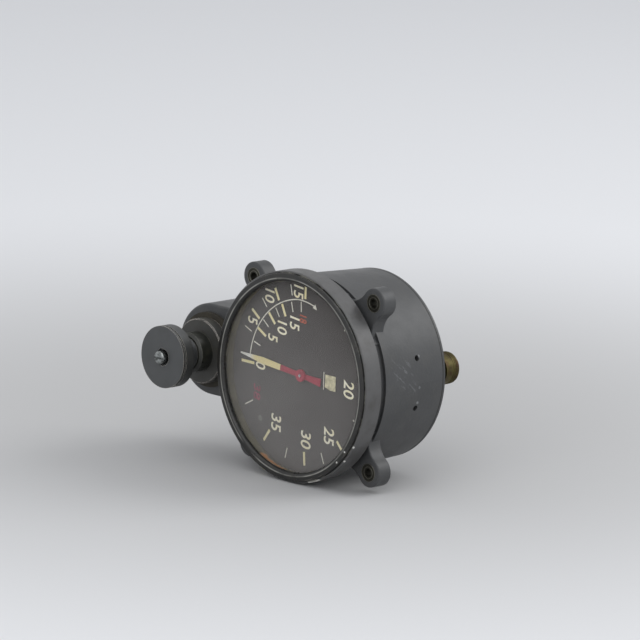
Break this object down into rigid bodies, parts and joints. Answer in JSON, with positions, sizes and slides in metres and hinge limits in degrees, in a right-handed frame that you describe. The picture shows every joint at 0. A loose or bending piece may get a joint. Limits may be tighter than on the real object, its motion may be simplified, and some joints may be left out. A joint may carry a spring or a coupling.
{
  "type": "aircraft fuel quantity indicator",
  "caption": "Round panel-mounted fuel gauge with a coloured pointer, side selector knob, mounting lugs and a rear connector, posed lying on its side.",
  "frame": {"origin": "centre of the circle of the four panel holes, in the plane of the lugs' front faces", "axes": "-Y out of the dial towards the reader, +X towards the dial's twelve o'clock, -X towards the selector knob at six o'clock, +Z towards the dial's nine o'clock, which is up as the object lies"},
  "size_m": [0.1111, 0.076, 0.0786],
  "materials": {
    "case_paint": "satin dark grey enamel on an aluminium casting",
    "bezel_paint": "near-black enamel worn to metal at the edges",
    "spacer_bronze": "worn, browned ring",
    "glass": "clear flat glass, slightly hazy",
    "seal_rubber": "old black rubber",
    "seal_olive": "olive-brown seal, worn at the edge",
    "dial_paint": "matt grey-black dial with cream marks",
    "pointer_paint": "matt crimson with a cream blade",
    "hub_paint": "matt crimson",
    "steel": "turned and drawn steel",
    "magnet": "ground magnet alloy",
    "brass": "turned brass",
    "insert_brass": "dull threaded inserts",
    "old_brass": "olive-brown tarnished connector",
    "pin_plate": "plated contact pins",
    "spring_bronze": "rolled bronze strip",
    "aluminium": "machined aluminium",
    "phenolic": "brown phenolic laminate and mouldings",
    "coil_copper": "enamelled copper winding",
    "knob_black": "black, satin, worn bright on the flange"
  },
  "bodies": {
    "instrument": {"case": "case_paint", "bezel": "bezel_paint", "glass_retaining_ring": "bezel_paint", "cover_glass": "glass", "lug_inserts": "insert_brass", "rear_cover": "case_paint", "rear_cover_screws": "steel", "connector_shell": "old_brass", "connector_insulator": "phenolic", "shaft_bush": "brass", "switch_cap": "case_paint", "switch_back_cover": "case_paint", "switch_cover_screws": "steel", "glass_gasket": "seal_rubber", "dial_spacer_ring": "spacer_bronze", "dial_plate": "dial_paint", "hairspring": "spring_bronze", "hairspring_stud": "brass", "movement_front_plate": "brass", "movement_base": "aluminium", "front_bearing": "brass", "rear_bearing": "brass", "movement_pillars": "brass", "pillar_screws": "steel", "coil_former_front": "phenolic", "coil_former_rear": "phenolic", "inner_field_coil": "coil_copper", "outer_field_coil": "coil_copper", "resistor_spools": "phenolic", "spool_screws": "steel", "case_grub_screws": "steel", "rear_seal": "seal_rubber", "connector_pins": "pin_plate", "connector_nut": "brass", "switch_seal_ring": "seal_olive", "switch_ring_nut": "brass", "detent_ball": "steel", "detent_guide": "brass", "detent_spring": "steel", "contact_deck": "phenolic", "deck_contacts": "brass", "deck_clamp_ring": "aluminium"},
    "pointer_rotor": {"pointer": "pointer_paint", "pointer_hub": "hub_paint", "pointer_spindle": "steel", "rotor_magnet": "magnet", "spring_collet": "brass"},
    "selector": {"selector_knob": "knob_black", "knob_screw": "steel", "switch_shaft": "steel", "detent_wheel": "steel", "contact_wiper": "brass", "shaft_clip": "steel"}
  },
  "joints": [
    {"name": "pointer_turn", "type": "hinge", "parent": "instrument", "child": "pointer_rotor", "pos_m": [0, 0, 0], "axis": [0, 1, 0], "range_deg": [-6, 325], "stiffness_Nm_per_rad": 0.00002},
    {"name": "selector_turn", "type": "hinge", "parent": "instrument", "child": "selector", "pos_m": [-0.0545, 0, 0], "axis": [0, 1, 0], "range_deg": [-45, 45]}
  ]
}
